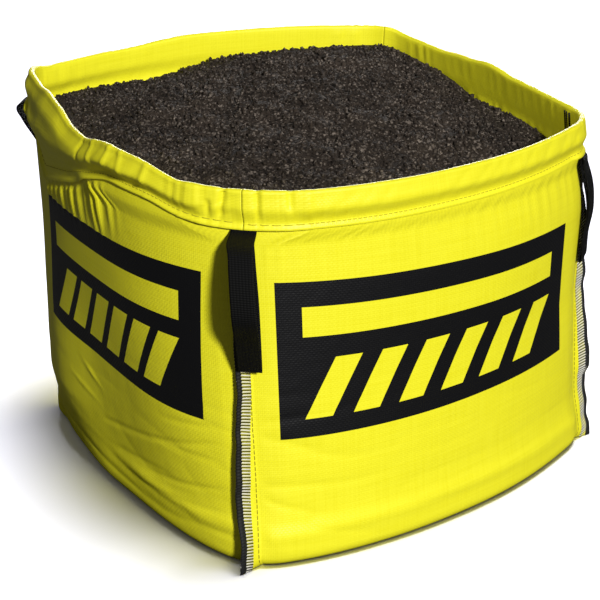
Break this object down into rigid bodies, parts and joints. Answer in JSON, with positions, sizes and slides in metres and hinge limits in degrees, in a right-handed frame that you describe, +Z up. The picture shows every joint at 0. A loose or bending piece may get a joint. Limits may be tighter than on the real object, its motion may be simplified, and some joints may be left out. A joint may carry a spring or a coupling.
{
  "type": "filled bulk bag of topsoil",
  "caption": "Open-topped woven bulk bag with sewn corner seams, hanging webbing lifting loops and printed fields, filled with a mound of dark topsoil.",
  "frame": {"origin": "on the floor under the middle of the bag, at the base mount", "axes": "+Z up; the printed front face looks along -Y and the printed left face along -X"},
  "size_m": [0.9603, 0.997, 0.7517],
  "materials": {
    "yellow_cloth": "woven polypropylene with a soft sheen",
    "black_webbing": "ribbed webbing",
    "overlock_thread": "black and white overlock thread",
    "black_ink": "satin print",
    "soil": "loose dark crumb"
  },
  "bodies": {
    "root": {"long_panel": "yellow_cloth", "side_panel_right": "yellow_cloth", "side_panel_left": "yellow_cloth", "topsoil": "soil", "printed_field_front": "black_ink", "printed_field_left": "black_ink", "lifting_loop_front_left": "black_webbing", "lifting_loop_front_right": "black_webbing", "lifting_loop_back_right": "black_webbing", "lifting_loop_back_left": "black_webbing", "overlock_front_left": "overlock_thread", "overlock_front_right": "overlock_thread", "overlock_back_right": "overlock_thread", "overlock_back_left": "overlock_thread"}
  },
  "joints": []
}
